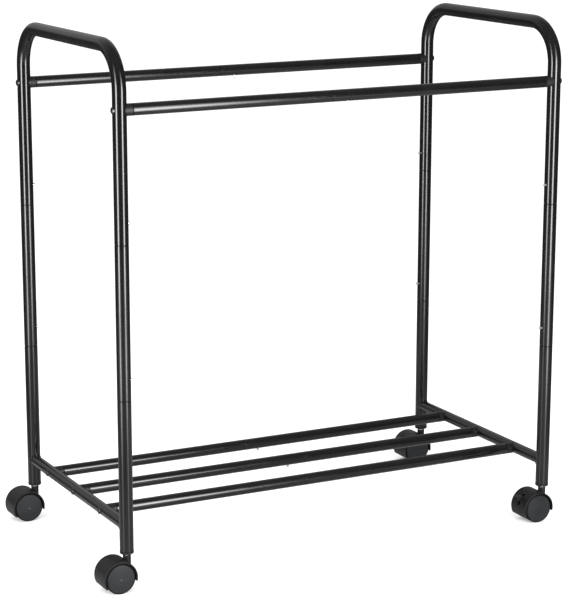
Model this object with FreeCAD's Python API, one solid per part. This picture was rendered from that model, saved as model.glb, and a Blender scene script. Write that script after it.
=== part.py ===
import FreeCAD, Part
import math
import os

# Rolling clothes rack, in millimetres. +X is right, +Y is rear, +Z is up.
# The origin is on the floor, under the middle of the whole rack's bounding box, with the
# casters trailing to the left. The frame's own middle lies FRAME_SHIFT to the right of it.
# Every shape is built about the frame's middle, and save() moves it by FRAME_SHIFT.

# ---- driving dimensions -----------------------------------------------------------------
FRAME_WIDTH = 780.0        # between the post axes, left to right
FRAME_DEPTH = 402.0        # between the post axes, front to rear
HOOP_AXIS_Z = 850.0        # axis of the hoops' level stretch
HOOP_BEND_R = 65.0         # centre line radius of the hoops' bends
RAIL_Z = 757.0             # axis of the two top rails
CROSSBAR_Z = 104.5         # axis of the crossbars and the shelf rods
UPPER_JOINT_Z = 552.5      # where a middle post meets the hoop
LOWER_JOINT_Z = 307.5      # where a leg meets its middle post
ROD_SPACING = 114.0        # between neighbouring shelf rods
RAIL_JOINT_OFFSET = 30.0   # from the middle of a rail or rod to its joint

POST_R = 11.1              # outside of hoops, posts and legs
POST_WALL = 1.2
BAR_R = 9.5                # outside of rails, rods and crossbars
BAR_WALL = 1.0
TUBE_EDGE = 0.7            # rounding of a cut tube end
WELD_BEAD = 1.6
FACE_GAP = 0.02            # between two faces that are meant to touch
PAST = 1.0                 # how far a cut runs on past the surface it opens

SPIGOT_GAP = 0.2           # radial gap between a spigot and the tube around it
SPIGOT_LENGTH = 60.0
SPIGOT_TIP = 0.8
JOINT_GAP = 0.5            # open line between two tube ends

BUTTON_R = 2.5
BUTTON_PROUD = 4.0         # how far a button stands out of its tube
BUTTON_CROWN = 1.6
BUTTON_CLEARANCE = 0.2
BUTTON_FLANGE_R = 3.8
BUTTON_FLANGE = 0.8
POST_BUTTON_RISE = 32.0    # from a post joint up to its button
SPRING_HALF_WIDTH = 3.5
SPRING_THICKNESS = 0.6
SPRING_BEND_R = 2.4
SPRING_BEND_X = 24.0       # from the button's axis to the spring's bend
SPRING_TAIL = 9.0          # how far the spring's back leaf passes the button's axis
SPRING_PAD = 4.5           # half the length of the flat under the button
SPRING_CLEARANCE = 0.1

PLUG_COLLAR = 7.5          # the end plug's visible length
PLUG_LINE = 1.2            # dark line between the plug's collar and the tube's end
PLUG_SHANK = 26.0
PLUG_EDGE = 0.5
PLUG_LEAD_IN = 1.5
SCREW_R = 3.0
SCREW_LENGTH = 44.0
SCREW_TIP = 0.7
SCREW_HEAD_R = 5.2
SCREW_HEAD = 2.3
SCREW_HEAD_EDGE = 0.9      # height of the screw head's straight edge over the tube
SCREW_SKIRT = 2.0          # how far the head's edge may reach down to the round tube
SCREW_FLAT_R = 1.6
DRIVE_LENGTH = 5.6
DRIVE_WIDTH = 1.1
DRIVE_DEPTH = 1.7
SCREW_HOLE_R = 3.3
THREAD_GAP = 0.05
INSERT_R = 5.0
INSERT_START = 14.0        # from the post or crossbar axis
INSERT_LENGTH = 22.0
INSERT_GROOVE = 0.6

WHEEL_R = 25.0
WHEEL_WIDTH = 16.0
CASTER_WIDTH = 44.0
CASTER_TRAIL = 19.0        # from the stem axis back to the axle
WEB_HALF = 5.5             # half the thickness of the hood's middle web
HOOD_R = 28.5
HOOD_WALL = 2.2
HOOD_EDGE = 0.8
HOOD_FROM = -13.0          # the hood's ends, in degrees about the axle from +X over the top
HOOD_TO = 210.0
NECK_R = 6.5
NECK_FOOT = 34.0
NECK_TOP = 56.5
AXLE_R = 3.0
AXLE_HALF = 17.0
AXLE_TIP = 0.5
HUB_R = 6.5
HUB_STEP = 10.0            # depth of the hollow in a wheel's inner side
RIM_BORE_R = 21.0
TREAD_EDGE = 0.8
DISC_R = 23.0              # crowned outer face of a wheel
DISC_CROWN = 1.1
DISC_EDGE = 0.6
DISC_GROOVE = 0.5          # width of the line between the disc and the tread
DISC_GROOVE_DEPTH = 1.0
STEM_R = 4.0
STEM_TIP = 0.8
STEM_COLLAR_R = 5.0
STEM_COLLAR_EDGE = 0.3
STEM_TOP = 92.5
STEM_BOTTOM = 36.0
RUNNING_GAP = 0.06         # radial, where one piece turns on another
GRIP_RING_Z = 85.5         # the stem's ring and the socket's groove for it
GRIP_RING = 0.7
GRIP_RING_LENGTH = 2.0
GRIP_GROOVE = 1.0
LEG_SOCKET_BOTTOM = 59.0
SOCKET_LIP = 4.0
SOCKET_LIP_PROUD = 0.3
SOCKET_LIP_ROUND = 2.2
SOCKET_TOP = 98.5
SOCKET_LEAD_IN = 2.0

# The brake lever's points are (x, z) from the axle.
LEVER_PIVOT = (-8.0, 13.0)
LEVER_TRAVEL = 15.0        # degrees from free to locked
LEVER_HALF = 3.0           # half the lever's thickness
LEVER_BOSS_R = 3.6
LINK_HALF = 1.9            # half the height of the bar between the pivot and the brake pin
LEVER_ROOM = 1.4           # round the lever's moving parts
LEVER_SIDE_GAP = 0.3
LEVER_SLOT = (130.0, 174.0)  # where the lever passes through the hood, in degrees
TRUNNION_R = 2.0
BRAKE_PIN = (0.0, 17.0)
BRAKE_PIN_R = 1.5
BRAKE_PIN_BOSS_R = 2.4
BRAKE_PIN_HALF = 12.0
TAB_TOP = 21.4
TAB_THICKNESS = 2.2
TAB_ROOT_X = -23.8         # the wide part's end by the hood
TAB_TIP_X = -34.0
TAB_HALF_WIDTH = 6.0
TAB_CORNER_R = 2.5
GUSSET_FOOT = (28.0, 157.0)  # radius and angle of the foot of the rib under the tab

# ---- worked out -------------------------------------------------------------------------
HALF_W = FRAME_WIDTH / 2
HALF_D = FRAME_DEPTH / 2
LEFT_REACH = HALF_W + CASTER_TRAIL + HOOD_R
RIGHT_REACH = HALF_W + POST_R + SCREW_HEAD
FRAME_SHIFT = (LEFT_REACH - RIGHT_REACH) / 2
POST_BORE_R = POST_R - POST_WALL
BAR_BORE_R = BAR_R - BAR_WALL
LEG_BOTTOM = LEG_SOCKET_BOTTOM + SOCKET_LIP
HOOD_BORE_R = HOOD_R - HOOD_WALL

SIDES = {"left": -1, "right": 1}
ENDS = {"front": -1, "rear": 1}
RAILS = {"front_rail": -HALF_D, "rear_rail": HALF_D}
RODS = {"front_rod": -ROD_SPACING, "middle_rod": 0.0, "rear_rod": ROD_SPACING}

X_AXIS = FreeCAD.Vector(1, 0, 0)
Y_AXIS = FreeCAD.Vector(0, 1, 0)
Z_AXIS = FreeCAD.Vector(0, 0, 1)
ORIGIN = FreeCAD.Vector(0, 0, 0)


# ---- helpers ----------------------------------------------------------------------------
def vec(x, y, z):
    return FreeCAD.Vector(x, y, z)


def outline(start, *steps):
    """Closed face in the XZ plane. A step is a point, or two points for an arc through the first."""
    edges = []
    here = vec(start[0], 0, start[1])
    for step in steps + (start,):
        if isinstance(step[0], tuple):
            through = vec(step[0][0], 0, step[0][1])
            there = vec(step[1][0], 0, step[1][1])
            edges.append(Part.Arc(here, through, there).toShape())
        else:
            there = vec(step[0], 0, step[1])
            if there.distanceToPoint(here) < 1e-6:
                continue
            edges.append(Part.LineSegment(here, there).toShape())
        here = there
    return Part.Face(Part.Wire(edges))


def turned(start, *steps):
    """Solid of revolution about Z, from an outline of (radius, height) points."""
    return outline(start, *steps).revolve(ORIGIN, Z_AXIS, 360)


def slab(face, half_width):
    """A face in the XZ plane, thickened along Y to both sides."""
    solid = face.extrude(vec(0, 2 * half_width, 0))
    solid.translate(vec(0, -half_width, 0))
    return solid


def rod(radius, start, end):
    return Part.makeCylinder(radius, (end - start).Length, start, end - start)


def cross_rod(radius, point, half_length):
    """A rod along Y through the point (x, z), to both sides of the middle."""
    return rod(radius, vec(point[0], -half_length, point[1]), vec(point[0], half_length, point[1]))


def polar(radius, degrees):
    return (radius * math.cos(math.radians(degrees)), radius * math.sin(math.radians(degrees)))


def offset(point, x, z):
    return (point[0] + x, point[1] + z)


def quarter(centre, radius, first, last):
    """An arc step: from angle first to angle last about centre."""
    return (offset(centre, *polar(radius, (first + last) / 2)), offset(centre, *polar(radius, last)))


def dome(edge_r, edge_z, height):
    """An arc step: from (edge_r, edge_z) up to the axis, as part of a sphere centred on the axis."""
    ball_r = (edge_r ** 2 + height ** 2) / (2 * height)
    centre_z = edge_z + height - ball_r
    half = math.asin(edge_r / ball_r) / 2
    middle = (ball_r * math.sin(half), centre_z + ball_r * math.cos(half))
    return (middle, (0, edge_z + height))


def along(shape, direction, up=Z_AXIS):
    """Turn a shape so that its local Z points along direction and its local X along up."""
    z = FreeCAD.Vector(direction).normalize()
    x = FreeCAD.Vector(up).normalize()
    y = z.cross(x)
    turn = FreeCAD.Matrix(x.x, y.x, z.x, 0, x.y, y.y, z.y, 0, x.z, y.z, z.z, 0, 0, 0, 0, 1)
    moved = shape.copy()
    moved.Placement = FreeCAD.Placement(turn).multiply(moved.Placement)
    return moved


def moved_to(shape, x, y, z):
    copy = shape.copy()
    copy.translate(vec(x, y, z))
    return copy


def swept(ring, points, bends):
    """A closed wire swept along the points. A point whose index is in bends is the middle of an arc."""
    edges = []
    step = 0
    while step < len(points) - 1:
        if step + 1 in bends:
            edges.append(Part.Arc(points[step], points[step + 1], points[step + 2]).toShape())
            step += 2
        else:
            edges.append(Part.LineSegment(points[step], points[step + 1]).toShape())
            step += 1
    return Part.Wire(edges).makePipeShell([ring], True, False, 1)


def save(name, *shapes):
    whole = shapes[0] if len(shapes) == 1 else Part.Compound(list(shapes))
    whole = whole.copy()
    whole.translate(vec(FRAME_SHIFT, 0, 0))
    whole.exportStep(os.path.join("parts", name + ".step"))


# ---- tubes ------------------------------------------------------------------------------
def cut_tube(radius, wall, length):
    """Tube from the origin up Z, cut square at both ends."""
    bore = radius - wall
    return turned(
        (bore, 0), (radius - TUBE_EDGE, 0),
        quarter((radius - TUBE_EDGE, TUBE_EDGE), TUBE_EDGE, -90, 0),
        (radius, length - TUBE_EDGE),
        quarter((radius - TUBE_EDGE, length - TUBE_EDGE), TUBE_EDGE, 0, 90),
        (bore, length))


def spigot_tube(radius, wall, length):
    """Tube from the origin up Z, drawn down past its length to a spigot that fits the next tube."""
    bore = radius - wall
    spigot = bore - SPIGOT_GAP
    shoulder = radius - spigot
    top = length + SPIGOT_LENGTH
    return turned(
        (bore, 0), (radius - TUBE_EDGE, 0),
        quarter((radius - TUBE_EDGE, TUBE_EDGE), TUBE_EDGE, -90, 0),
        (radius, length - shoulder), quarter((spigot, length - shoulder), shoulder, 0, 90),
        (spigot, top - SPIGOT_TIP), (spigot - SPIGOT_TIP / 2, top), (spigot - wall, top),
        (spigot - wall, length - shoulder + wall), (bore, length - 2 * shoulder))


def button_hole(radius):
    """Drill for a snap button, in the button's local frame."""
    return rod(BUTTON_R + BUTTON_CLEARANCE, ORIGIN, vec(0, 0, radius + PAST))


def screw_hole(reach):
    return rod(SCREW_HOLE_R, vec(-reach - PAST, 0, 0), vec(reach + PAST, 0, 0))


# ---- snap buttons and their springs -----------------------------------------------------
# Local frame: Z points out of the tube, X along the tube, the origin is on the tube's axis.
def spigot_bore(radius, wall):
    return radius - 2 * wall - SPIGOT_GAP


def flange_top(radius, wall):
    """The height at which the button's flange comes up against the inside of the spigot."""
    return math.sqrt(spigot_bore(radius, wall) ** 2 - BUTTON_FLANGE_R ** 2) - SPRING_CLEARANCE


def snap_button(radius, wall):
    top = flange_top(radius, wall)
    bottom = top - BUTTON_FLANGE
    shoulder = radius + BUTTON_PROUD - BUTTON_CROWN
    return turned(
        (0, bottom), (BUTTON_FLANGE_R, bottom), (BUTTON_FLANGE_R, top), (BUTTON_R, top),
        (BUTTON_R, shoulder), dome(BUTTON_R, shoulder, BUTTON_CROWN))


def button_spring(radius, wall):
    """V of spring strip: one leaf on the far wall, the bend, and the leaf under the button."""
    half = SPRING_THICKNESS / 2
    near = flange_top(radius, wall) - BUTTON_FLANGE - SPRING_CLEARANCE - half
    far = -math.sqrt(spigot_bore(radius, wall) ** 2 - SPRING_HALF_WIDTH ** 2) + SPRING_CLEARANCE + half
    centre = (SPRING_BEND_X, far + SPRING_BEND_R)
    reach = math.hypot(SPRING_PAD - centre[0], near - centre[1])
    bearing = math.degrees(math.atan2(near - centre[1], SPRING_PAD - centre[0]))
    leave = bearing - math.degrees(math.acos(SPRING_BEND_R / reach))
    bend = quarter(centre, SPRING_BEND_R, -90, leave)
    route = ((-SPRING_TAIL, far), (SPRING_BEND_X, far), *bend, (SPRING_PAD, near), (-SPRING_PAD, near))
    corners = [vec(-SPRING_TAIL, y * SPRING_HALF_WIDTH, far + z * half)
               for y, z in ((-1, -1), (1, -1), (1, 1), (-1, 1), (-1, -1))]
    return swept(Part.Wire(Part.makePolygon(corners)), [vec(x, 0, z) for x, z in route], (2,))


def button_places():
    """Every snap button: name, place on the tube's axis, outward and lengthwise directions, tube."""
    post = (POST_R, POST_WALL)
    bar = (BAR_R, BAR_WALL)
    down = vec(0, 0, -1)
    places = []
    for side, sx in SIDES.items():
        for end, sy in ENDS.items():
            for level, joint_z in (("upper", UPPER_JOINT_Z), ("lower", LOWER_JOINT_Z)):
                where = vec(sx * HALF_W, sy * HALF_D, joint_z + POST_BUTTON_RISE)
                places.append((f"{side}_{end}_{level}_button", where, vec(-sx, 0, 0), Z_AXIS, post))
    for name, y in RAILS.items():
        places.append((f"{name}_button", vec(0, y, RAIL_Z), down, X_AXIS, bar))
    for name, y in RODS.items():
        outward = Y_AXIS if name == "front_rod" else down
        lengthwise = vec(-1, 0, 0) if name == "middle_rod" else X_AXIS
        places.append((f"{name}_button", vec(0, y, CROSSBAR_Z), outward, lengthwise, bar))
    return places


def build_buttons():
    springs = []
    for name, where, outward, lengthwise, tube in button_places():
        button = along(snap_button(*tube), outward, lengthwise)
        spring = along(button_spring(*tube), outward, lengthwise)
        save(name, moved_to(button, *where))
        springs.append(moved_to(spring, *where))
    save("button_springs", *springs)


def drill_buttons(tube, within):
    """Cut the hole of every snap button whose place within() accepts."""
    for name, where, outward, lengthwise, (radius, _) in button_places():
        if within(name):
            drill = along(button_hole(radius), outward, lengthwise)
            tube = tube.cut(moved_to(drill, *where))
    return tube


# ---- end frames -------------------------------------------------------------------------
def hoop_sweep(radius, side_x):
    """Solid bar bent into the hoop's shape."""
    foot = UPPER_JOINT_Z + JOINT_GAP
    bend_z = HOOP_AXIS_Z - HOOP_BEND_R
    bend_y = HALF_D - HOOP_BEND_R
    offset_y, offset_z = polar(HOOP_BEND_R, 45)
    points = [vec(side_x, y, z) for y, z in (
        (-HALF_D, foot), (-HALF_D, bend_z), (-bend_y - offset_y, bend_z + offset_z),
        (-bend_y, HOOP_AXIS_Z), (bend_y, HOOP_AXIS_Z), (bend_y + offset_y, bend_z + offset_z),
        (HALF_D, bend_z), (HALF_D, foot))]
    return swept(Part.Wire(Part.makeCircle(radius, points[0], Z_AXIS)), points, (2, 5))


def build_hoops():
    for side, sx in SIDES.items():
        x = sx * HALF_W
        hoop = hoop_sweep(POST_R, x).cut(hoop_sweep(POST_BORE_R, x))
        for sy in ENDS.values():
            hoop = hoop.cut(moved_to(screw_hole(POST_R), x, sy * HALF_D, RAIL_Z))
        hoop = drill_buttons(hoop, lambda name: name.startswith(side) and "upper" in name)
        save(f"{side}_top_hoop", hoop)


def build_posts_and_legs():
    middle = spigot_tube(POST_R, POST_WALL, UPPER_JOINT_Z - LOWER_JOINT_Z - JOINT_GAP)
    leg = spigot_tube(POST_R, POST_WALL, LOWER_JOINT_Z - LEG_BOTTOM)
    for side, sx in SIDES.items():
        for end, sy in ENDS.items():
            corner = f"{side}_{end}"
            x, y = sx * HALF_W, sy * HALF_D
            post = moved_to(middle, x, y, LOWER_JOINT_Z + JOINT_GAP)
            save(f"{corner}_middle_post", drill_buttons(post, lambda name: name.startswith(corner)))
            lower = moved_to(leg, x, y, LEG_BOTTOM)
            save(f"{corner}_leg", drill_buttons(lower, lambda name: name.startswith(f"{corner}_lower")))


def build_crossbars():
    """Crossbars with their ends shaped round the legs and a weld bead at each end."""
    for side, sx in SIDES.items():
        x = sx * HALF_W
        middle = vec(x, 0, CROSSBAR_Z)
        ends = [vec(x, sy * HALF_D, CROSSBAR_Z) for sy in ENDS.values()]
        bar = rod(BAR_R, *ends)
        for end in ends:
            above, below = end + Z_AXIS * 2 * BAR_R, end - Z_AXIS * 2 * BAR_R
            around_leg = rod(POST_R + WELD_BEAD, below, above)
            around_bar = rod(BAR_R + WELD_BEAD, end, middle)
            bar = bar.fuse(around_bar.common(around_leg)).cut(rod(POST_R + FACE_GAP, below, above))
        bar = bar.cut(rod(BAR_BORE_R, *ends))
        for y in RODS.values():
            bar = bar.cut(moved_to(screw_hole(BAR_R), x, y, CROSSBAR_Z))
        save(f"{side}_crossbar", bar.removeSplitter())


# ---- rails and rods ---------------------------------------------------------------------
def build_bar_halves(name, y, z, post_radius):
    """The two halves of a rail or rod. One half's spigot goes into the other half."""
    tube_end = HALF_W - post_radius - PLUG_COLLAR - PLUG_LINE
    reverse = -1 if name == "middle_rod" else 1
    first = along(spigot_tube(BAR_R, BAR_WALL, tube_end - RAIL_JOINT_OFFSET), vec(reverse, 0, 0))
    second = along(cut_tube(BAR_R, BAR_WALL, tube_end + RAIL_JOINT_OFFSET - JOINT_GAP), vec(reverse, 0, 0))
    first.translate(vec(-reverse * tube_end, y, z))
    second.translate(vec(reverse * (JOINT_GAP - RAIL_JOINT_OFFSET), y, z))
    left, right = (first, second) if reverse == 1 else (second, first)
    save(f"{name}_left_half", drill_buttons(left, lambda button: button == f"{name}_button"))
    save(f"{name}_right_half", drill_buttons(right, lambda button: button == f"{name}_button"))


def end_plug(post_radius, post_axis):
    """Plug with its collar against the post. Local X points into the tube, from the post's axis."""
    collar_end = post_radius + PLUG_COLLAR
    shank_end = collar_end + PLUG_SHANK
    shank_r = BAR_BORE_R - SPIGOT_GAP
    body = turned(
        (0, 0), (BAR_R, 0), (BAR_R, collar_end - PLUG_EDGE),
        quarter((BAR_R - PLUG_EDGE, collar_end - PLUG_EDGE), PLUG_EDGE, 0, 90),
        (shank_r, collar_end), (shank_r, shank_end - PLUG_LEAD_IN),
        (shank_r - PLUG_LEAD_IN, shank_end), (0, shank_end))
    body = along(body, X_AXIS)
    seat = rod(post_radius + 2 * FACE_GAP, post_axis * -2 * BAR_R, post_axis * 2 * BAR_R)
    pocket = rod(INSERT_R, vec(INSERT_START, 0, 0), vec(shank_end + PAST, 0, 0))
    return body.cut(seat).cut(pocket).cut(screw_hole(shank_end))


def threaded_insert():
    """Steel sleeve with two grooves round it, held in the plug. Along Z from the origin."""
    outer = INSERT_R - FACE_GAP
    inner = SCREW_R + THREAD_GAP
    fifth = INSERT_LENGTH / 5
    profile = [(inner, 0), (outer, 0)]
    for start in (fifth, 3 * fifth):
        profile += [(outer, start), (outer - INSERT_GROOVE, start)]
        profile += [(outer - INSERT_GROOVE, start + fifth), (outer, start + fifth)]
    profile += [(outer, INSERT_LENGTH), (inner, INSERT_LENGTH)]
    return moved_to(along(turned(*profile), X_AXIS), INSERT_START, 0, 0)


def frame_screw(post_radius, post_axis):
    """Pan head screw. The underside of its head is formed to the round post or crossbar."""
    crown = SCREW_HEAD - SCREW_HEAD_EDGE
    run = SCREW_HEAD_R - SCREW_FLAT_R
    drive_floor = SCREW_HEAD - DRIVE_DEPTH
    head = turned(
        (0, -SCREW_SKIRT), (SCREW_HEAD_R, -SCREW_SKIRT), (SCREW_HEAD_R, SCREW_HEAD_EDGE),
        ((SCREW_FLAT_R + run * math.cos(math.pi / 4), SCREW_HEAD_EDGE + crown * math.sin(math.pi / 4)),
         (SCREW_FLAT_R, SCREW_HEAD)),
        (0, SCREW_HEAD))
    for turn in (45, 135):
        slot = Part.makeBox(
            DRIVE_LENGTH, DRIVE_WIDTH, DRIVE_DEPTH, vec(-DRIVE_LENGTH / 2, -DRIVE_WIDTH / 2, drive_floor))
        slot.rotate(ORIGIN, Z_AXIS, turn)
        head = head.cut(slot)
    shank = turned(
        (0, -SCREW_LENGTH), (SCREW_R - SCREW_TIP, -SCREW_LENGTH), (SCREW_R, SCREW_TIP - SCREW_LENGTH),
        (SCREW_R, drive_floor), (0, drive_floor))
    head, shank = (moved_to(along(piece, vec(-1, 0, 0)), -post_radius, 0, 0) for piece in (head, shank))
    post = rod(post_radius + FACE_GAP, post_axis * -2 * SCREW_HEAD_R, post_axis * 2 * SCREW_HEAD_R)
    return head.cut(post).fuse(shank).removeSplitter()


def build_bars():
    """Rails and rods, with the plugs, inserts and screws at their ends."""
    rail_plugs, rod_plugs, inserts, screws = [], [], [], []
    groups = (
        (RAILS, RAIL_Z, POST_R, Z_AXIS, rail_plugs),
        (RODS, CROSSBAR_Z, BAR_R, Y_AXIS, rod_plugs))
    for bars, z, post_radius, post_axis, plugs in groups:
        plug = end_plug(post_radius, post_axis)
        screw = frame_screw(post_radius, post_axis)
        for name, y in bars.items():
            build_bar_halves(name, y, z, post_radius)
            for sx in SIDES.values():
                for piece, group in ((plug, plugs), (threaded_insert(), inserts), (screw, screws)):
                    turned_in = piece.copy()
                    if sx > 0:
                        turned_in.rotate(ORIGIN, Z_AXIS, 180)
                    group.append(moved_to(turned_in, sx * HALF_W, y, z))
    save("rail_end_plugs", *rail_plugs)
    save("rod_end_plugs", *rod_plugs)
    save("threaded_inserts", *inserts)
    save("frame_screws", *screws)


# ---- leg sockets and caster stems -------------------------------------------------------
def leg_socket():
    """Plastic plug in the foot of a leg, with a rounded lip below it and a grip groove inside."""
    lip_r = POST_R + SOCKET_LIP_PROUD
    body_r = POST_BORE_R - SPIGOT_GAP / 2
    bore = STEM_R + RUNNING_GAP
    groove_r = bore + GRIP_GROOVE
    groove_bottom = GRIP_RING_Z - GRIP_GROOVE
    groove_top = GRIP_RING_Z + GRIP_RING_LENGTH + GRIP_GROOVE
    return turned(
        (bore, LEG_SOCKET_BOTTOM), (lip_r - SOCKET_LIP_ROUND, LEG_SOCKET_BOTTOM),
        quarter((lip_r - SOCKET_LIP_ROUND, LEG_SOCKET_BOTTOM + SOCKET_LIP_ROUND), SOCKET_LIP_ROUND, -90, 0),
        (lip_r, LEG_BOTTOM - SOCKET_LIP_PROUD), (POST_R, LEG_BOTTOM), (body_r, LEG_BOTTOM),
        (body_r, SOCKET_TOP - SOCKET_LEAD_IN), (body_r - SOCKET_LEAD_IN, SOCKET_TOP), (bore, SOCKET_TOP),
        (bore, groove_top), (groove_r, groove_top), (groove_r, groove_bottom), (bore, groove_bottom))


def caster_stem():
    """Steel pin that turns in the caster's neck, with a collar and a grip ring in the leg socket."""
    collar_bottom = NECK_TOP + 2 * SPIGOT_GAP
    ring_r = STEM_R + GRIP_RING
    return turned(
        (0, STEM_BOTTOM), (STEM_R - STEM_TIP, STEM_BOTTOM), (STEM_R, STEM_BOTTOM + STEM_TIP),
        (STEM_R, collar_bottom), (STEM_COLLAR_R - STEM_COLLAR_EDGE, collar_bottom),
        (STEM_COLLAR_R, collar_bottom + STEM_COLLAR_EDGE), (STEM_COLLAR_R, LEG_SOCKET_BOTTOM),
        (STEM_R, LEG_SOCKET_BOTTOM), (STEM_R, GRIP_RING_Z), (ring_r, GRIP_RING_Z + GRIP_RING),
        (ring_r, GRIP_RING_Z + GRIP_RING_LENGTH - GRIP_RING), (STEM_R, GRIP_RING_Z + GRIP_RING_LENGTH),
        (STEM_R, STEM_TOP - STEM_TIP), (STEM_R - STEM_TIP, STEM_TOP), (0, STEM_TOP))


# ---- casters ----------------------------------------------------------------------------
# Local frame: the axle lies on Y through the origin, the stem stands CASTER_TRAIL to +X.
def hood_band(outer, inner, half_width):
    """A band about the axle, from one end of the hood over the top to the other end."""
    middle = (HOOD_FROM + HOOD_TO) / 2
    return slab(outline(
        polar(outer, HOOD_FROM), (polar(outer, middle), polar(outer, HOOD_TO)),
        polar(inner, HOOD_TO), (polar(inner, middle), polar(inner, HOOD_FROM))), half_width)


def hood_web():
    """The wall between the two wheels, which holds the axle and the stem."""
    edge = HOOD_BORE_R + HOOD_WALL / 4
    middle = (HOOD_FROM + HOOD_TO) / 2
    return slab(outline(polar(edge, HOOD_FROM), (polar(edge, middle), polar(edge, HOOD_TO))), WEB_HALF)


def bridge(start, start_half, end, end_half, half_width):
    """A slab between two points of a caster's side view, that wide across each of them."""
    length = math.dist(start, end)
    nx, nz = (start[1] - end[1]) / length, (end[0] - start[0]) / length
    return slab(outline(
        offset(start, nx * start_half, nz * start_half), offset(end, nx * end_half, nz * end_half),
        offset(end, -nx * end_half, -nz * end_half),
        offset(start, -nx * start_half, -nz * start_half)), half_width)


def lever_room():
    """What is cut from a hood for its brake lever: pocket, slot, trunnion holes and pin windows."""
    half = LEVER_HALF + LEVER_SIDE_GAP
    through = WEB_HALF + PAST
    pin = pressed(BRAKE_PIN, LEVER_TRAVEL / 2)
    swing = math.dist(BRAKE_PIN, pressed(BRAKE_PIN, LEVER_TRAVEL)) / 2
    boss = LEVER_BOSS_R + LEVER_ROOM
    pin_boss = BRAKE_PIN_BOSS_R + LEVER_ROOM + swing / 2
    slot_r = HOOD_R + 2 * HOOD_WALL
    slot = slab(outline(
        offset(LEVER_PIVOT, 0, boss), polar(slot_r, LEVER_SLOT[0]),
        polar(slot_r, LEVER_SLOT[1]), offset(LEVER_PIVOT, 0, -boss)), half)
    link = bridge(LEVER_PIVOT, boss, pin, pin_boss, half)
    return [
        slot, link,
        cross_rod(boss, LEVER_PIVOT, half), cross_rod(pin_boss, pin, half),
        cross_rod(BRAKE_PIN_R + swing + SPIGOT_GAP, pin, through),
        cross_rod(TRUNNION_R + RUNNING_GAP, LEVER_PIVOT, through)]


def caster_hood(braked):
    """Cover over both wheels, with the web between them and the neck for the stem."""
    neck_top = NECK_TOP - WHEEL_R
    neck_foot = NECK_FOOT - WHEEL_R
    neck = turned(
        (0, neck_foot), (NECK_R, neck_foot), (NECK_R, neck_top - HOOD_EDGE),
        quarter((NECK_R - HOOD_EDGE, neck_top - HOOD_EDGE), HOOD_EDGE, 0, 90), (0, neck_top))
    hood = hood_band(HOOD_R, HOOD_BORE_R, CASTER_WIDTH / 2).fuse(moved_to(neck, CASTER_TRAIL, 0, 0))
    for sy in ENDS.values():
        hood = hood.cut(rod(HOOD_BORE_R, vec(0, sy * WEB_HALF, 0), vec(0, sy * (CASTER_WIDTH / 2 + PAST), 0)))
    hood = hood.fuse(hood_web()).removeSplitter()
    rims = [e for e in hood.Edges
            if abs(abs(e.CenterOfMass.y) - CASTER_WIDTH / 2) < FACE_GAP
            and e.Curve.TypeId == "Part::GeomCircle" and abs(e.Curve.Radius - HOOD_R) < FACE_GAP]
    hood = hood.makeFillet(HOOD_EDGE, rims)
    bore_bottom = STEM_BOTTOM - WHEEL_R - STEM_TIP
    hood = hood.cut(rod(STEM_R + RUNNING_GAP, vec(CASTER_TRAIL, 0, bore_bottom),
                        vec(CASTER_TRAIL, 0, neck_top + PAST)))
    hood = hood.cut(cross_rod(AXLE_R + FACE_GAP, (0, 0), WEB_HALF + PAST))
    if braked:
        for room in lever_room():
            hood = hood.cut(room)
    return hood


def caster_axle():
    axle = turned(
        (0, -AXLE_HALF), (AXLE_R - AXLE_TIP, -AXLE_HALF), (AXLE_R, AXLE_TIP - AXLE_HALF),
        (AXLE_R, AXLE_HALF - AXLE_TIP), (AXLE_R - AXLE_TIP, AXLE_HALF), (0, AXLE_HALF))
    return along(axle, Y_AXIS, X_AXIS)


def caster_wheel(sy):
    """Wheel with a crowned disc on its outer face, hollow on the inner side round its hub."""
    outer = CASTER_WIDTH / 2
    inner = outer - WHEEL_WIDTH
    shoulder = outer - DISC_CROWN
    bore = AXLE_R + RUNNING_GAP
    bore_end = AXLE_HALF + AXLE_TIP
    groove_r = DISC_R + DISC_GROOVE
    rim_round = WHEEL_R - groove_r
    wheel = turned(
        (bore, inner), (HUB_R, inner), (HUB_R, inner + HUB_STEP), (RIM_BORE_R, inner + HUB_STEP),
        (RIM_BORE_R, inner), (WHEEL_R - TREAD_EDGE, inner),
        quarter((WHEEL_R - TREAD_EDGE, inner + TREAD_EDGE), TREAD_EDGE, -90, 0),
        (WHEEL_R, shoulder - DISC_EDGE - rim_round),
        quarter((groove_r, shoulder - DISC_EDGE - rim_round), rim_round, 0, 90),
        (groove_r, shoulder - DISC_GROOVE_DEPTH), (DISC_R, shoulder - DISC_GROOVE_DEPTH),
        (DISC_R, shoulder - DISC_EDGE),
        quarter((DISC_R - DISC_EDGE, shoulder - DISC_EDGE), DISC_EDGE, 0, 90),
        dome(DISC_R - DISC_EDGE, shoulder, DISC_CROWN), (0, bore_end), (bore, bore_end))
    return along(wheel, vec(0, sy, 0), X_AXIS)


def pressed(point, degrees):
    """Where a point of the brake lever is when its tab has been pressed down by that angle."""
    x, z = point[0] - LEVER_PIVOT[0], point[1] - LEVER_PIVOT[1]
    cos, sin = math.cos(math.radians(degrees)), math.sin(math.radians(degrees))
    return offset(LEVER_PIVOT, x * cos - z * sin, x * sin + z * cos)


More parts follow.
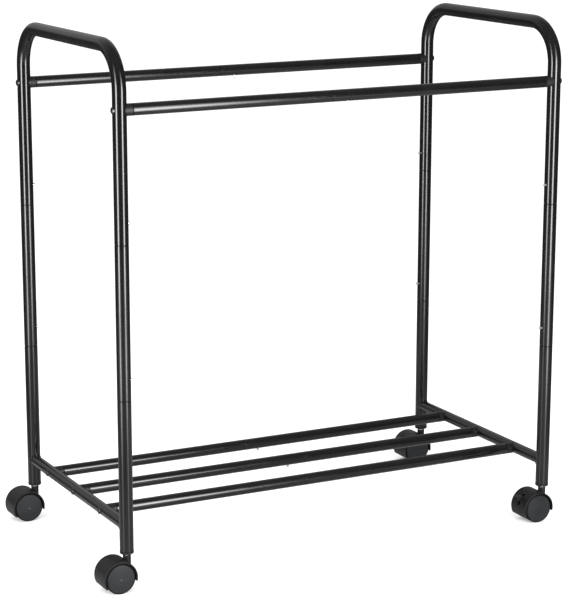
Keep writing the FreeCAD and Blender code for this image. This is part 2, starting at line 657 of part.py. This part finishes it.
def brake_lever():
    """Lever with its thumb tab outside the hood, and the pin that locks both wheels."""
    tab_bottom = TAB_TOP - TAB_THICKNESS
    arm = slab(outline(
        offset(LEVER_PIVOT, 0, LEVER_BOSS_R), (TAB_ROOT_X, TAB_TOP), (TAB_TIP_X + TAB_CORNER_R, tab_bottom),
        polar(*GUSSET_FOOT), offset(LEVER_PIVOT, 0, -LEVER_BOSS_R)), LEVER_HALF)
    link = bridge(LEVER_PIVOT, LINK_HALF, BRAKE_PIN, LINK_HALF, LEVER_HALF)
    tab = slab(outline(
        (TAB_ROOT_X, tab_bottom), (TAB_ROOT_X, TAB_TOP), (TAB_TIP_X, TAB_TOP), (TAB_TIP_X, tab_bottom)),
        TAB_HALF_WIDTH)
    corners = [e for e in tab.Edges
               if e.CenterOfMass.x < TAB_TIP_X + FACE_GAP and abs(e.CenterOfMass.y) > TAB_HALF_WIDTH - FACE_GAP]
    lever = arm.fuse(link).fuse(tab.makeFillet(TAB_CORNER_R, corners))
    lever = lever.fuse(cross_rod(LEVER_BOSS_R, LEVER_PIVOT, LEVER_HALF))
    lever = lever.fuse(cross_rod(BRAKE_PIN_BOSS_R, BRAKE_PIN, LEVER_HALF))
    lever = lever.fuse(cross_rod(TRUNNION_R, LEVER_PIVOT, WEB_HALF - SPRING_CLEARANCE))
    lever = lever.fuse(cross_rod(BRAKE_PIN_R, BRAKE_PIN, BRAKE_PIN_HALF))
    return lever.removeSplitter()


def build_casters():
    sockets, stems = [], []
    for side, sx in SIDES.items():
        braked = side == "right"
        hood = caster_hood(braked)
        for end, sy in ENDS.items():
            corner = f"{side}_{end}"
            x, y = sx * HALF_W, sy * HALF_D
            sockets.append(moved_to(leg_socket(), x, y, 0))
            stems.append(moved_to(caster_stem(), x, y, 0))
            axle_place = (x - CASTER_TRAIL, y, WHEEL_R)
            save(f"{corner}_caster_hood", moved_to(hood, *axle_place))
            save(f"{corner}_caster_axle", moved_to(caster_axle(), *axle_place))
            for wheel_end, wheel_sy in ENDS.items():
                wheel = moved_to(caster_wheel(wheel_sy), *axle_place)
                save(f"{corner}_caster_{wheel_end}_wheel", wheel)
            if braked:
                save(f"{corner}_brake_lever", moved_to(brake_lever(), *axle_place))
    save("leg_sockets", *sockets)
    save("caster_stems", *stems)


os.makedirs("parts", exist_ok=True)
build_hoops()
build_posts_and_legs()
build_crossbars()
build_bars()
build_buttons()
build_casters()
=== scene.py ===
"""Looks of the rolling clothes rack: materials, weld beads, studio light and camera."""

import math

import bmesh
import bpy
from mathutils import Euler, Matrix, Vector


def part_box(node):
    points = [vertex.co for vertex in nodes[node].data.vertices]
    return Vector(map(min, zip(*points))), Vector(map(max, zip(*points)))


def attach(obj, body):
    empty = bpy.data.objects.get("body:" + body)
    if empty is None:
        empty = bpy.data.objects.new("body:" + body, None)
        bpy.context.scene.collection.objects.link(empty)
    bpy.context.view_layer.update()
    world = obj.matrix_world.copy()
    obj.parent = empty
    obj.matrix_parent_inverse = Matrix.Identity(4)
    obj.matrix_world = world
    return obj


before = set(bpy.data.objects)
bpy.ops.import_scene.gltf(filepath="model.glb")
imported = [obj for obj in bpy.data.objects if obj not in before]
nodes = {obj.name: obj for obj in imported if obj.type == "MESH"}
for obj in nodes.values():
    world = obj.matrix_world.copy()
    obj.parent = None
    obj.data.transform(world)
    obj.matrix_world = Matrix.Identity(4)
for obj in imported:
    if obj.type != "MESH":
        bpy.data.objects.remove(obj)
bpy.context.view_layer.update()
MM = 0.001


# ---- object tools -----------------------------------------------------------------------

def placed(name, data):
    """A new object in the scene, with that mesh, light or camera as its data."""
    thing = bpy.data.objects.new(name, data)
    bpy.context.scene.collection.objects.link(thing)
    return thing


def placed_mesh(name, mesh, material):
    """A new object in the scene, made from a bmesh."""
    data = bpy.data.meshes.new(name)
    mesh.to_mesh(data)
    mesh.free()
    data.materials.append(material)
    return placed(name, data)


# ---- node tools -------------------------------------------------------------------------

class Nodes:
    """Adds nodes to one node tree. A source is another node's output, or a plain number."""

    def __init__(self, tree):
        self.tree = tree

    def add(self, kind, **settings):
        """A new node of that kind, with its settings."""
        node = self.tree.nodes.new("ShaderNode" + kind)
        for setting, value in settings.items():
            setattr(node, setting, value)
        return node

    def join(self, source, socket):
        """Link a socket to its source, or set it to a plain number."""
        if isinstance(source, (int, float)):
            socket.default_value = source
        else:
            self.tree.links.new(source, socket)

    def maths(self, operation, *sources):
        """The result of a maths node."""
        node = self.add("Math", operation=operation)
        for source, socket in zip(sources, node.inputs):
            self.join(source, socket)
        return node.outputs[0]

    def distance(self, place, centre):
        """How far a place is from a fixed centre."""
        node = self.add("VectorMath", operation="DISTANCE")
        self.join(place, node.inputs[0])
        node.inputs[1].default_value = centre
        return node.outputs["Value"]

    def split(self, place):
        """The x, y and z of a place."""
        node = self.add("SeparateXYZ")
        self.join(place, node.inputs[0])
        return node.outputs

    def spread(self, source, low, high, start=0.3, end=0.7, kind="LINEAR"):
        """Source, from start to end, as a value from low to high."""
        node = self.add("MapRange", interpolation_type=kind)
        limits = {"From Min": start, "From Max": end, "To Min": low, "To Max": high}
        for socket, value in limits.items():
            node.inputs[socket].default_value = value
        self.join(source, node.inputs["Value"])
        return node.outputs[0]

    def colours(self, source, *stops):
        """Source as a colour, through (place, colour) stops."""
        node = self.add("ValToRGB")
        elements = node.color_ramp.elements
        while len(elements) < len(stops):
            elements.new(0.5)
        for element, (place, colour) in zip(elements, stops):
            element.position = place
            element.color = (*colour, 1)
        self.join(source, node.inputs["Fac"])
        return node.outputs["Color"]

    def levels(self, source, *stops):
        """Source as a grey level, through (place, level) stops."""
        return self.colours(source, *((place, (level,) * 3) for place, level in stops))

    def mixed(self, share, first, second):
        """One shader, which turns into a second one as share goes from 0 to 1."""
        node = self.add("MixShader")
        for source, socket in zip((share, first, second), node.inputs):
            self.join(source, socket)
        return node.outputs[0]

    def seen_by_gloss(self):
        """1 for a glossy reflection's ray, 0 for any other."""
        return self.add("LightPath").outputs["Is Glossy Ray"]


class Look(Nodes):
    """A material with one Principled shader, whose detail sits in metres on the object."""

    def __init__(self, name, **values):
        self.material = bpy.data.materials.new(name)
        self.material.use_nodes = True
        super().__init__(self.material.node_tree)
        self.tree.nodes.clear()
        self.surface = self.add("OutputMaterial").inputs["Surface"]
        self.shader = self.add("BsdfPrincipled")
        self.join(self.shader.outputs[0], self.surface)
        self.place = self.add("TexCoord").outputs["Object"]
        for socket, value in values.items():
            self.shader.inputs[socket.replace("_", " ")].default_value = value

    def stretched(self, *scale):
        """Object coordinates, scaled along each axis."""
        node = self.add("Mapping")
        node.inputs["Scale"].default_value = scale
        self.join(self.place, node.inputs["Vector"])
        return node.outputs[0]

    def noise(self, size, detail=2.0, rough=0.5, place=None):
        """Noise from 0 to 1 whose features are about size metres across."""
        node = self.add("TexNoise")
        node.inputs["Scale"].default_value = 1 / size
        node.inputs["Detail"].default_value = detail
        node.inputs["Roughness"].default_value = rough
        self.join(place or self.place, node.inputs["Vector"])
        return node.outputs[0]

    def feed(self, socket, source):
        """Give the shader's socket its source."""
        self.join(source, self.shader.inputs[socket])

    def relief(self, *layers):
        """Bump from (height, depth in metres) layers, coarse ones first."""
        normal = None
        for height, depth in layers:
            bump = self.add("Bump")
            bump.inputs["Strength"].default_value = 1.0
            bump.inputs["Distance"].default_value = depth
            self.join(height, bump.inputs["Height"])
            if normal:
                self.join(normal, bump.inputs["Normal"])
            normal = bump.outputs["Normal"]
        self.feed("Normal", normal)


# ---- materials --------------------------------------------------------------------------

DRAWN = (1, 1, 0.08)       # scale that turns noise into upright drawing lines
SPECK_SHARE = 0.45         # how much fine specks count in the paint's tone, beside its clouds
FINE_SHARE = 0.35          # the same for the plastic's fine grain, beside its flow marks
TREAD_SHADE_FROM = 23.3 * MM     # the painted shade on the wheel's tread starts at this radius
TREAD_SHADE_BLEND = 0.2 * MM
# near-black painted shade on the tread, for the gap under the caster's hood
TREAD_SHADE_COLOUR = (0.0024, 0.0024, 0.0025)
TREAD_EXTRA_ROUGH = 0.25
TREAD_SHEEN = 0.1
DISC_SHEEN = 0.3


def gloss_paint():
    """Black gloss powder coat: orange peel, fine pits and faint handling marks."""
    look = Look("gloss_paint", IOR=1.5, Specular_IOR_Level=0.5)
    cloud = look.noise(size=60 * MM, detail=3.0, rough=0.6)
    speck = look.noise(size=1.1 * MM, detail=3.0, rough=0.7)
    look.feed("Base Color", look.colours(
        look.maths("MULTIPLY_ADD", speck, SPECK_SHARE, cloud),
        (0.35, (0.0031, 0.0031, 0.0034)),
        (0.75, (0.0042, 0.0042, 0.0045)),
        (1.0, (0.0065, 0.0065, 0.0068))))
    smudge = look.noise(size=35 * MM, detail=4.0, rough=0.65)
    pits = look.noise(size=1.6 * MM, rough=0.6)
    look.feed("Roughness", look.maths(
        "ADD",
        look.spread(smudge, low=0.13, high=0.19, start=0.35, end=0.75),
        look.spread(pits, low=-0.01, high=0.015, start=0.3, end=0.8)))
    orange_peel = look.noise(size=3.4 * MM, detail=1.0, rough=0.4)
    fine_peel = look.noise(size=1.2 * MM)
    look.relief((orange_peel, 0.003 * MM), (fine_peel, 0.0007 * MM))
    return look.material


def moulded_plastic(name, dark, light, rough, grain, sheen):
    """Black moulded plastic with a fine spark grain, and flow marks in its tone and sheen.

    Returns its look, and the sources of its colour and roughness."""
    look = Look(name, IOR=1.49, Specular_IOR_Level=sheen)
    flow = look.noise(size=18 * MM, detail=3.0, rough=0.55)
    fine = look.noise(size=0.6 * MM, rough=0.6)
    colour = look.colours(
        look.maths("MULTIPLY_ADD", fine, FINE_SHARE, flow), (0.4, dark), (0.95, light))
    roughness = look.maths(
        "ADD",
        look.spread(flow, low=rough - 0.05, high=rough + 0.06),
        look.spread(fine, low=-0.04, high=0.05))
    look.feed("Base Color", colour)
    look.feed("Roughness", roughness)
    spark = look.noise(size=0.9 * MM, rough=0.55)
    fine_spark = look.noise(size=0.32 * MM, detail=1.0)
    look.relief((spark, grain), (fine_spark, grain * 0.5))
    return look, colour, roughness


def axle_places():
    """The x midway between the left and right axles, half their distance, and their height."""
    low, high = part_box("left_front_caster_front_wheel")
    right_low, right_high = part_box("right_front_caster_front_wheel")
    left, right = (low.x + high.x) / 2, (right_low.x + right_high.x) / 2
    return (left + right) / 2, (right - left) / 2, (low.z + high.z) / 2


def wheel_plastic():
    """Moulded wheel: a slightly blue disc, and a near-black tread round it, whose dark colour is
    painted shade for the gap under the hood.
    """
    look, disc_colour, roughness = moulded_plastic(
        "wheel_plastic", dark=(0.0082, 0.0088, 0.0099), light=(0.0118, 0.0126, 0.0141),
        rough=0.38, grain=0.009 * MM, sheen=DISC_SHEEN)
    middle, half, height = axle_places()
    x, _, z = look.split(look.place)
    off_middle = look.maths("ABSOLUTE", look.maths("SUBTRACT", x, middle))
    across = look.maths("SUBTRACT", off_middle, half)
    above = look.maths("SUBTRACT", z, height)
    radius = look.maths("SQRT", look.maths(
        "ADD", look.maths("MULTIPLY", across, across), look.maths("MULTIPLY", above, above)))
    # From this radius out the colour turns near black, rougher and less shiny: painted shade for
    # the gap between the caster's hood and the disc.
    tread_shade = look.spread(radius, low=0.0, high=1.0, start=TREAD_SHADE_FROM, end=TREAD_SHADE_FROM + TREAD_SHADE_BLEND)
    mix = look.add("Mix", data_type="RGBA")
    look.join(tread_shade, mix.inputs["Factor"])
    disc_side, tread_shade_side = (socket for socket in mix.inputs if socket.type == "RGBA")
    look.join(disc_colour, disc_side)
    tread_shade_side.default_value = (*TREAD_SHADE_COLOUR, 1)
    look.feed("Base Color", next(socket for socket in mix.outputs if socket.type == "RGBA"))
    extra_rough = look.spread(tread_shade, low=0.0, high=TREAD_EXTRA_ROUGH, start=0.0, end=1.0)
    look.feed("Roughness", look.maths("ADD", roughness, extra_rough))
    look.feed("Specular IOR Level", look.spread(
        tread_shade, low=DISC_SHEEN, high=TREAD_SHEEN, start=0.0, end=1.0))
    return look.material


def plated_steel(name, dark, light, rough, metal=1.0):
    """Plated steel with fine drawing lines and a slightly cloudy shine."""
    look = Look(name, Metallic=metal)
    cloud = look.noise(size=4 * MM, detail=3.0, rough=0.6)
    lines = look.noise(size=0.7 * MM, detail=3.0, rough=0.6, place=look.stretched(*DRAWN))
    look.feed("Base Color", look.colours(cloud, (0.3, dark), (0.75, light)))
    look.feed("Roughness", look.maths(
        "ADD",
        look.spread(cloud, low=rough - 0.04, high=rough + 0.06),
        look.spread(lines, low=-0.05, high=0.08)))
    pits = look.noise(size=0.5 * MM)
    look.relief((lines, 0.004 * MM), (pits, 0.002 * MM))
    return look.material


def blackened_steel():
    """Black plated screw: a worn, slightly brown-black shine."""
    look = Look("blackened_steel", Metallic=0.85)
    cloud = look.noise(size=2.2 * MM, detail=3.0, rough=0.6)
    rub = look.noise(size=0.5 * MM, detail=3.0, rough=0.7)
    look.feed("Base Color", look.colours(
        look.maths("MULTIPLY", cloud, rub),
        (0.12, (0.030, 0.030, 0.032)),
        (0.45, (0.10, 0.098, 0.096))))
    look.feed("Roughness", look.spread(rub, low=0.2, high=0.38))
    look.relief((rub, 0.004 * MM))
    return look.material


LOOKS = {
    "black_paint": gloss_paint(),
    "plug_plastic": moulded_plastic(
        "plug_plastic", dark=(0.0065, 0.0066, 0.0070), light=(0.0110, 0.0111, 0.0117),
        rough=0.42, grain=0.009 * MM, sheen=0.3)[0].material,
    "caster_plastic": moulded_plastic(
        "caster_plastic", dark=(0.0048, 0.0050, 0.0054), light=(0.0072, 0.0074, 0.0080),
        rough=0.42, grain=0.011 * MM, sheen=0.25)[0].material,
    "wheel_plastic": wheel_plastic(),
    "bright_steel": plated_steel(
        "bright_steel", dark=(0.60, 0.60, 0.60), light=(0.78, 0.78, 0.77), rough=0.2),
    "black_screw": blackened_steel(),
    "zinc_steel": plated_steel(
        "zinc_steel", dark=(0.42, 0.43, 0.44), light=(0.58, 0.59, 0.60), rough=0.36),
}
STEM_NICKEL = plated_steel(
    "stem_nickel", dark=(0.80, 0.80, 0.80), light=(0.90, 0.90, 0.89), rough=0.3, metal=0.6)


def look_of(node):
    """The finish of a CAD node, from the material slot that it was packed with."""
    if node == "caster_stems":
        return STEM_NICKEL
    slot = nodes[node].data.materials[0].name.split(".")[0]
    return LOOKS[slot]


for name, piece in nodes.items():
    look = look_of(name)
    for place in piece.material_slots:
        place.link = "OBJECT"
        place.material = look


# ---- weld beads -------------------------------------------------------------------------

BEAD_R = 1.5 * MM
BEAD_STEPS = 240
BEAD_SIDES = 12
BEAD_RIPPLES = 30
BEAD_HEAPING = 0.16        # how much each ripple of the bead stands up, as a share of its radius
BEAD_ROUNDING = 0.7        # below 1, a ripple is fuller than a sine wave
BEAD_SWELL = 0.07          # slow change of the bead's radius round the seam, as a share of it
BEAD_SWELLS = 3
BEAD_WAVER = 0.05          # a quicker change of the same kind
BEAD_WAVERS = 7
BEAD_PHASE_X = 9           # radians per metre of the leg's place, so that no two beads are alike
BEAD_PHASE_Y = 5
SEAM_NUDGE = 0.01          # radians to each side, for the seam's direction


def weld_bead(name, leg, crossbar):
    """A rippled bead along the line where a crossbar's end is fitted round a leg.

    The crossbar is as thick as the rods."""
    low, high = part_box(leg)
    leg_x, leg_y, leg_r = (low.x + high.x) / 2, (low.y + high.y) / 2, (high.x - low.x) / 2
    bar_low, bar_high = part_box(crossbar)
    rod_low, rod_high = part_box("middle_rod_left_half")
    bar_z, bar_r = (bar_low.z + bar_high.z) / 2, (rod_high.y - rod_low.y) / 2
    inward = 1 if leg_y < 0 else -1

    def seam(angle):
        x, z = bar_r * math.sin(angle), bar_r * math.cos(angle)
        out = math.sqrt(max(leg_r ** 2 - x ** 2, 0))
        return Vector((leg_x + x, leg_y + inward * out, bar_z + z))

    def bead_radius(turn):
        phase = (turn * BEAD_RIPPLES / (2 * math.pi)) % 1
        ripple = math.sin(math.pi * phase) ** BEAD_ROUNDING
        swell = BEAD_SWELL * math.sin(BEAD_SWELLS * turn + leg_x * BEAD_PHASE_X)
        waver = BEAD_WAVER * math.sin(BEAD_WAVERS * turn + leg_y * BEAD_PHASE_Y)
        return BEAD_R * (1 - BEAD_HEAPING + BEAD_HEAPING * ripple) * (1 + swell + waver)

    mesh = bmesh.new()
    rings = []
    for step in range(BEAD_STEPS):
        turn = 2 * math.pi * step / BEAD_STEPS
        centre = seam(turn)
        along = (seam(turn + SEAM_NUDGE) - seam(turn - SEAM_NUDGE)).normalized()
        out_of_leg = Vector((centre.x - leg_x, centre.y - leg_y, 0)).normalized()
        out_of_bar = Vector((centre.x - leg_x, 0, centre.z - bar_z)).normalized()
        up = (out_of_leg + out_of_bar).normalized()
        up = (up - along * up.dot(along)).normalized()
        side = along.cross(up)
        reach = bead_radius(turn)
        ring = []
        for k in range(BEAD_SIDES):
            angle = 2 * math.pi * k / BEAD_SIDES
            ring.append(mesh.verts.new(
                centre + (up * math.cos(angle) + side * math.sin(angle)) * reach))
        rings.append(ring)
    for ring, following in zip(rings, rings[1:] + rings[:1]):
        for k in range(BEAD_SIDES):
            nxt = (k + 1) % BEAD_SIDES
            mesh.faces.new((ring[k], ring[nxt], following[nxt], following[k]))
    bmesh.ops.recalc_face_normals(mesh, faces=mesh.faces)
    for face in mesh.faces:
        face.smooth = True
    piece = placed_mesh(name, mesh, LOOKS["black_paint"])
    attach(piece, "frame")


for side in ("left", "right"):
    for end in ("front", "rear"):
        weld_bead(f"{side}_{end}_weld_bead", f"{side}_{end}_leg", f"{side}_crossbar")


# ---- softboxes --------------------------------------------------------------------------

SOFTBOXES = {"right_softbox": (0.35, -1.95), "left_softbox": (-2.10, -0.78)}
SOFTBOX_RADIANCE = 21.0
SOFTBOX_WIDTH = 0.80
SOFTBOX_HEIGHT = 2.30
SOFTBOX_FOOT = 0.03
SOFTBOX_LEVELS = ((0.0, 0.8), (0.3, 1.0), (0.5, 0.42), (0.75, 0.13), (1.0, 0.02))  # height, level
SOFTBOX_FADE_FROM = 0.2    # share of the width out from the middle, where the level starts to drop
SOFTBOX_FADE_TO = 0.52
SOFTBOX_SIDE_LEVEL = 0.15


def softbox(name, x, y):
    """An upright softbox that faces the rack. It is brightest in the middle of its lower half."""
    light = bpy.data.lights.new(name, "AREA")
    light.shape = "RECTANGLE"
    light.size, light.size_y = SOFTBOX_WIDTH, SOFTBOX_HEIGHT
    light.energy = SOFTBOX_RADIANCE * math.pi * SOFTBOX_WIDTH * SOFTBOX_HEIGHT
    light.use_nodes = True
    parts = Nodes(light.node_tree)
    emission = next(node for node in parts.tree.nodes if node.type == "EMISSION")
    across, up, _ = parts.split(parts.add("NewGeometry").outputs["Parametric"])
    off_middle = parts.maths("ABSOLUTE", parts.maths("SUBTRACT", across, 0.5))
    across_level = parts.spread(
        off_middle, low=1.0, high=SOFTBOX_SIDE_LEVEL,
        start=SOFTBOX_FADE_FROM, end=SOFTBOX_FADE_TO, kind="SMOOTHSTEP")
    up_level = parts.levels(up, *SOFTBOX_LEVELS)
    parts.join(parts.maths("MULTIPLY", across_level, up_level), emission.inputs["Strength"])
    lamp = placed(name, light)
    lamp.location = (x, y, SOFTBOX_FOOT + SOFTBOX_HEIGHT / 2)
    lamp.rotation_euler = Vector((-x, -y, 0)).to_track_quat("-Z", "Y").to_euler()


# ---- floor ------------------------------------------------------------------------------

FLOOR_HALF = 60.0
FLOOR_LIFT = 0.15          # added to the floor's own radiance
FLOOR_WHITES = ((0.3, (0.955,) * 3), (0.7, (0.965,) * 3))
FLOOR_GLEAM = (            # metres from the rack, radiance
    (0.0, 0.45), (0.35, 0.45), (0.5, 0.6), (0.7, 0.55), (1.0, 0.15), (2.0, 0.06))
FLOOR_SHEEN = (            # metres from a softbox, share of the light that is mirrored
    (0.0, 0.75), (0.3, 0.7), (0.6, 0.45), (1.1, 0.09), (2.0, 0.02))
FLOOR_SHEEN_ROUGH = 0.12
SOFTBOX_GLOW = (           # metres from a softbox, share of the glow
    (0.0, 1.0), (0.55, 0.58), (1.1, 0.12), (1.5, 0.02), (2.0, 0.0))
SOFTBOX_GLOW_RADIANCE = 2.4


def fading(look, centre, stops):
    """A level on the floor that changes away from centre, through (metres, level) stops."""
    farthest = stops[-1][0]
    share = look.maths("DIVIDE", look.distance(look.place, (*centre, 0)), farthest)
    return look.levels(share, *((out / farthest, level) for out, level in stops))


def floor():
    """White floor. Glossy reflections see it fade away from the rack, and bright by a softbox."""
    look = Look(
        "studio_floor", Specular_IOR_Level=0.0, Roughness=1.0,
        Emission_Color=(1, 1, 1, 1), Emission_Strength=FLOOR_LIFT)
    look.feed("Base Color", look.colours(look.noise(size=1.5), *FLOOR_WHITES))
    mirror, glow = (
        look.maths("ADD", *(fading(look, place, stops) for place in SOFTBOXES.values()))
        for stops in (FLOOR_SHEEN, SOFTBOX_GLOW))
    sheen = look.add("BsdfGlossy")
    sheen.inputs["Roughness"].default_value = FLOOR_SHEEN_ROUGH
    look.join(mirror, sheen.inputs["Color"])
    gleam = look.add("Emission")
    look.join(
        look.maths(
            "ADD",
            fading(look, (0, 0), FLOOR_GLEAM),
            look.maths("MULTIPLY", glow, SOFTBOX_GLOW_RADIANCE)),
        gleam.inputs["Strength"])
    both = look.add("AddShader")
    look.join(sheen.outputs[0], both.inputs[0])
    look.join(gleam.outputs[0], both.inputs[1])
    look.join(
        look.mixed(look.seen_by_gloss(), look.shader.outputs[0], both.outputs[0]), look.surface)

    mesh = bmesh.new()
    corners = ((-1, -1), (1, -1), (1, 1), (-1, 1))
    mesh.faces.new([mesh.verts.new((x * FLOOR_HALF, y * FLOOR_HALF, 0)) for x, y in corners])
    placed_mesh("studio_floor", mesh, look.material)


# ---- surroundings -----------------------------------------------------------------------

WHITE = 1.06               # radiance of the surroundings, for the eye and for soft light
WALL_RADIANCE = 0.6        # the lit rear wall, for gloss
WALL_SIDES = (0.1, 0.9)    # its light rises over this share of the way from side to rear
WALL_FOOT = (-0.02, 0.25)  # and from just under the horizon up
CEILING_RADIANCE = 0.25
CEILING_RISE = (0.2, 0.9)
ROOM_RADIANCE = 0.05       # the rest of the room, for gloss


def surroundings():
    """White all round for the eye and for soft light. Gloss sees a studio with a lit rear wall."""
    world = bpy.data.worlds.new("studio")
    bpy.context.scene.world = world
    world.use_nodes = True
    parts = Nodes(world.node_tree)
    parts.tree.nodes.clear()

    def rise(source, radiance, limits):
        return parts.spread(source, 0.0, radiance, *limits, kind="SMOOTHSTEP")

    _, back, up = parts.split(parts.add("TexCoord").outputs["Generated"])
    wall = parts.maths("MULTIPLY", rise(back, WALL_RADIANCE, WALL_SIDES), rise(up, 1.0, WALL_FOOT))
    lit = parts.maths("ADD", wall, rise(up, CEILING_RADIANCE, CEILING_RISE))
    white, studio = parts.add("Background"), parts.add("Background")
    white.inputs["Color"].default_value = (1, 1, 1, 1)
    white.inputs["Strength"].default_value = WHITE
    parts.join(parts.maths("ADD", lit, ROOM_RADIANCE), studio.inputs["Strength"])
    both = parts.mixed(parts.seen_by_gloss(), white.outputs[0], studio.outputs[0])
    parts.join(both, parts.add("OutputWorld").inputs["Surface"])


# ---- camera -----------------------------------------------------------------------------

CAMERA_PLACE = (-1.6136, -3.1120, 1.1696)
CAMERA_YAW = 25.87         # degrees from +Y towards +X
CAMERA_PITCH = -13.37
CAMERA_ROLL = -0.32
CAMERA_LENS = 127.25       # millimetres, on a sensor of 36
CAMERA_SENSOR = 36
CAMERA_SHIFT = (0.10, 0.05)  # the rack stands to the right of the lens axis and above it
CAMERA_REACH = 200.0


def camera():
    """The camera at the photo's place."""
    data = bpy.data.cameras.new("camera")
    data.sensor_width = CAMERA_SENSOR
    data.lens = CAMERA_LENS
    data.shift_x, data.shift_y = CAMERA_SHIFT
    data.clip_end = CAMERA_REACH
    eye = placed("camera", data)
    eye.location = CAMERA_PLACE
    turn = Euler((0, 0, math.radians(-CAMERA_YAW))).to_matrix()
    turn = turn @ Euler((math.radians(90 + CAMERA_PITCH), 0, 0)).to_matrix()
    turn = turn @ Euler((0, 0, math.radians(CAMERA_ROLL))).to_matrix()
    eye.rotation_euler = turn.to_euler()
    bpy.context.scene.camera = eye


floor()
surroundings()
for name, (x, y) in SOFTBOXES.items():
    softbox(name, x, y)
camera()
bpy.context.scene.view_settings.view_transform = "Standard"
